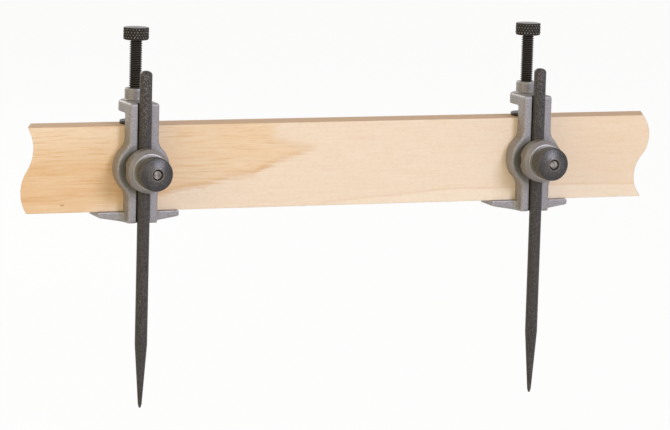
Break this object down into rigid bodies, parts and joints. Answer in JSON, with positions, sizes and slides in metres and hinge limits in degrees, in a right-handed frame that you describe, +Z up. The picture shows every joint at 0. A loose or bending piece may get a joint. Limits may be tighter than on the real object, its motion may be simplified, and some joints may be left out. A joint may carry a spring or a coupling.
{
  "type": "beam compass",
  "caption": "Beam compass: clamping heads slide along a wooden beam, and each holds a pointed steel rod for scribing large circles and arcs.",
  "frame": {"origin": "on the beam's back face, at the middle of its height and halfway between the ends of its front face", "axes": "+X along the beam, +Y out of its back face, +Z up, with the scriber points down"},
  "size_m": [0.4316, 0.0584, 0.2373],
  "materials": {
    "beam_wood": "sanded pale hardwood, lightly oiled",
    "cast_metal": "tumbled die casting, satin",
    "washer_metal": "tumbled die casting, satin",
    "scriber_steel": "black oxide",
    "screw_steel": "black oxide, knurled head",
    "knob_steel": "blued, turned, finely knurled",
    "pad_steel": "black oxide",
    "bolt_steel": "machined"
  },
  "bodies": {
    "beam": {"beam": "beam_wood"},
    "left_head": {"left_casting": "cast_metal", "left_draw_bolt": "bolt_steel"},
    "left_pad": {"left_pressure_pad": "pad_steel"},
    "left_screw": {"left_clamp_screw": "screw_steel"},
    "left_washer": {"left_clamp_washer": "washer_metal"},
    "left_knob": {"left_clamp_knob": "knob_steel"},
    "left_scriber": {"left_scriber_rod": "scriber_steel"},
    "right_head": {"right_casting": "cast_metal", "right_draw_bolt": "bolt_steel"},
    "right_pad": {"right_pressure_pad": "pad_steel"},
    "right_screw": {"right_clamp_screw": "screw_steel"},
    "right_washer": {"right_clamp_washer": "washer_metal"},
    "right_knob": {"right_clamp_knob": "knob_steel"},
    "right_scriber": {"right_scriber_rod": "scriber_steel"}
  },
  "joints": [
    {"name": "left_head_slide", "type": "slide", "parent": "beam", "child": "left_head", "axis": [1, 0, 0], "range_m": [-0.039, 0.1]},
    {"name": "left_pad_rise", "type": "slide", "parent": "left_head", "child": "left_pad", "axis": [0, 0, 1], "range_m": [0, 0.0042]},
    {"name": "left_screw_turn", "type": "hinge", "parent": "left_pad", "child": "left_screw", "pos_m": [-0.1359, -0.01025, 0.033], "axis": [0, 0, 1], "range_deg": [0, 1080]},
    {"name": "left_washer_release", "type": "slide", "parent": "left_head", "child": "left_washer", "axis": [0, -1, 0], "range_m": [0, 0.0025]},
    {"name": "left_knob_turn", "type": "hinge", "parent": "left_washer", "child": "left_knob", "pos_m": [-0.1359, -0.04485, 0.0009], "axis": [0, -1, 0], "range_deg": [0, 720]},
    {"name": "left_scriber_slide", "type": "slide", "parent": "left_head", "child": "left_scriber", "axis": [0, 0, 1], "range_m": [-0.044, 0.072]},
    {"name": "right_head_slide", "type": "slide", "parent": "beam", "child": "right_head", "axis": [1, 0, 0], "range_m": [-0.1, 0.044]},
    {"name": "right_pad_rise", "type": "slide", "parent": "right_head", "child": "right_pad", "axis": [0, 0, 1], "range_m": [0, 0.0042]},
    {"name": "right_screw_turn", "type": "hinge", "parent": "right_pad", "child": "right_screw", "pos_m": [0.1281, -0.01025, 0.033], "axis": [0, 0, 1], "range_deg": [0, 1080]},
    {"name": "right_washer_release", "type": "slide", "parent": "right_head", "child": "right_washer", "axis": [0, -1, 0], "range_m": [0, 0.0025]},
    {"name": "right_knob_turn", "type": "hinge", "parent": "right_washer", "child": "right_knob", "pos_m": [0.1281, -0.04485, 0.0009], "axis": [0, -1, 0], "range_deg": [0, 720]},
    {"name": "right_scriber_slide", "type": "slide", "parent": "right_head", "child": "right_scriber", "axis": [0, 0, 1], "range_m": [-0.044, 0.072]}
  ],
  "couplings": [
    {"joint": "left_screw_turn", "follows": "left_pad_rise", "rad_per_m": 4453},
    {"joint": "left_knob_turn", "follows": "left_washer_release", "rad_per_m": 4947.4},
    {"joint": "right_screw_turn", "follows": "right_pad_rise", "rad_per_m": 4453},
    {"joint": "right_knob_turn", "follows": "right_washer_release", "rad_per_m": 4947.4}
  ]
}
